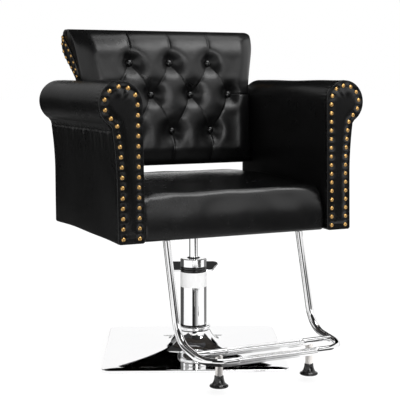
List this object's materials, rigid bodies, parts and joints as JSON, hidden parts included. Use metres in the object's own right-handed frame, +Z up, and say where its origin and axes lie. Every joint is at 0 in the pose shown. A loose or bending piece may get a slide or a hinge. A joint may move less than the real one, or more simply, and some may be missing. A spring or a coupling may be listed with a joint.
{
  "type": "hairdressing chair",
  "caption": "Salon chair with scroll arms and a button-tufted scroll back, which lifts and turns on a hydraulic pump with a foot lever, above a square chrome base.",
  "frame": {"origin": "on the floor, on the pump's axis, in the middle of the base plate's underside", "axes": "+Z up along the pump; the seat faces -Y, with +X to the right as seen from in front; the base is turned 24 degrees clockwise about +Z against the seat, and left and right in the node names are as seen from in front"},
  "size_m": [0.698, 0.7429, 0.833],
  "materials": {
    "chrome": "polished",
    "dark_steel": "satin",
    "bronze": "satin",
    "black_rubber": "matte",
    "black_plastic": "gloss",
    "black_leather": "satin",
    "plywood": "matte",
    "brass": "polished"
  },
  "bodies": {
    "base": {"base_plate": "dark_steel", "base_shell": "chrome", "pump_flange": "dark_steel", "flange_bolt_1": "dark_steel", "flange_bolt_2": "dark_steel", "flange_bolt_3": "dark_steel", "flange_bolt_4": "dark_steel", "trim_ring": "chrome", "pump_tube": "chrome", "pump_inner_cylinder": "dark_steel", "pump_gland": "black_plastic", "pump_head": "chrome", "guide_bush": "bronze", "rod_wiper": "black_rubber", "lever_bracket": "chrome", "lever_pin": "dark_steel"},
    "lever": {"lever_arm": "chrome", "pedal_plate": "chrome"},
    "plunger": {"pump_plunger": "dark_steel"},
    "ram": {"lift_piston": "dark_steel", "piston_seal": "black_rubber", "ram_rod": "chrome"},
    "seat": {"seat_plate": "dark_steel", "seat_bolt_1": "dark_steel", "seat_bolt_2": "dark_steel", "seat_bolt_3": "dark_steel", "seat_bolt_4": "dark_steel", "seat_board": "plywood", "seat_cushion": "black_leather", "arm_left": "black_leather", "arm_right": "black_leather", "arm_front_left": "black_leather", "arm_front_right": "black_leather", "back_shell": "black_leather", "back_cushion": "black_leather", "back_side_left": "black_leather", "back_side_right": "black_leather", "tuft_button_1": "black_leather", "tuft_button_2": "black_leather", "tuft_button_3": "black_leather", "tuft_button_4": "black_leather", "tuft_button_5": "black_leather", "tuft_button_6": "black_leather", "tuft_button_7": "black_leather", "tuft_button_8": "black_leather", "tuft_button_9": "black_leather", "tuft_button_10": "black_leather", "footrest_tube": "chrome", "footrest_bar": "chrome", "footrest_plate_left": "dark_steel", "footrest_plate_right": "dark_steel", "foot_post_left": "chrome", "foot_post_right": "chrome", "foot_pad_left": "black_plastic", "foot_pad_right": "black_plastic"}
  },
  "joints": [
    {"name": "lift", "type": "slide", "parent": "base", "child": "ram", "axis": [0, 0, 1], "range_m": [0, 0.14]},
    {"name": "swivel", "type": "hinge", "parent": "ram", "child": "seat", "pos_m": [0, 0, 0.3], "axis": [0, 0, 1], "continuous": true},
    {"name": "foot_lever", "type": "hinge", "parent": "base", "child": "lever", "pos_m": [0.01952, 0.04385, 0.158], "axis": [-0.9135, 0.4067, 0], "range_deg": [0, 25], "stiffness_Nm_per_rad": 4, "springref_deg": -20.05},
    {"name": "plunger_stroke", "type": "slide", "parent": "base", "child": "plunger", "axis": [0, 0, 1], "range_m": [0, 0.0105]}
  ],
  "couplings": [
    {"joint": "plunger_stroke", "follows": "foot_lever", "m_per_rad": 0.0234}
  ]
}
